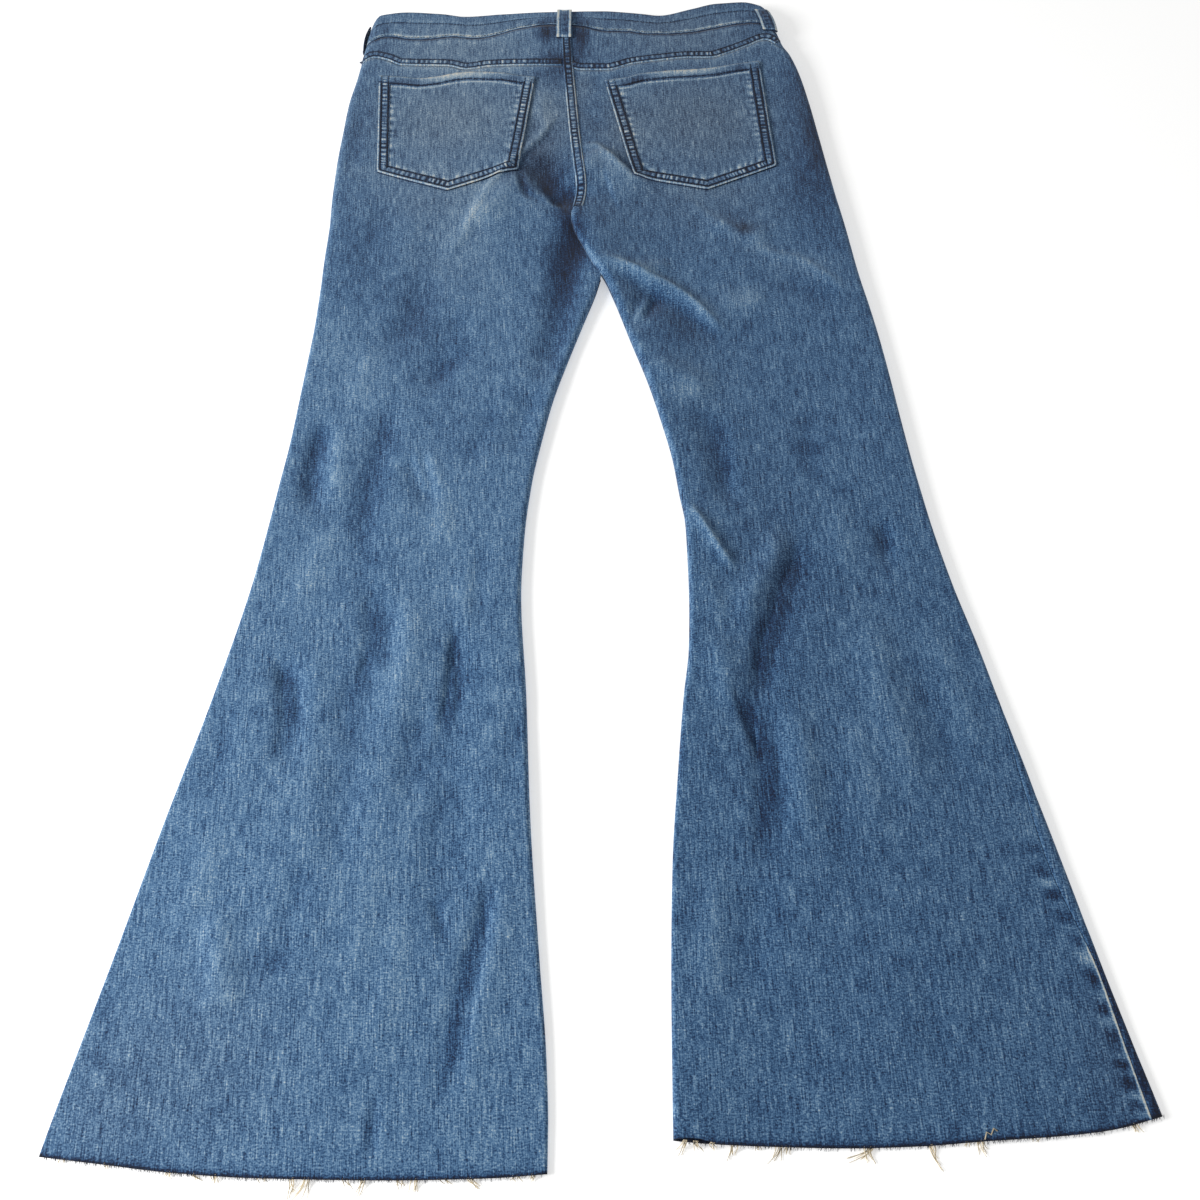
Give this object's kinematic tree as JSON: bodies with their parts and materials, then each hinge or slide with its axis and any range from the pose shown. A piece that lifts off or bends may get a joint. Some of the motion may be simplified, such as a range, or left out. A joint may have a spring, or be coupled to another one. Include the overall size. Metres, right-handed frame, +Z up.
{
  "type": "flared jeans",
  "caption": "Flared denim jeans lying flat with the back up: patch pockets, yoke, waistband with loops, and raw frayed hems.",
  "frame": {"origin": "under the middle of the garment's box, on the surface that it lies on", "axes": "+X from the wearer's left side to the right one, +Y from the hems to the waist, +Z up, with the garment's back up"},
  "size_m": [0.6709, 1.0646, 0.0198],
  "materials": {
    "denim": "washed stretch denim, twill weave",
    "denim_faded": "washed stretch denim, faded by wear",
    "thread": "loose cotton thread",
    "button_metal": "dull plated metal"
  },
  "bodies": {
    "root": {"back_panel_left": "denim", "back_panel_right": "denim", "front_panel_left": "denim", "front_panel_right": "denim", "back_yoke_left": "denim_faded", "back_yoke_right": "denim_faded", "waistband_back": "denim_faded", "waistband_front_left": "denim_faded", "waistband_front_right": "denim_faded", "back_pocket_left": "denim_faded", "back_pocket_right": "denim_faded", "belt_loop_centre_back": "denim_faded", "belt_loop_right_side": "denim_faded", "belt_loop_left_side": "denim_faded", "belt_loop_front_left": "denim_faded", "belt_loop_front_right": "denim_faded", "waist_button": "button_metal", "hem_fringe_left": "thread", "hem_fringe_right": "thread"}
  },
  "joints": []
}
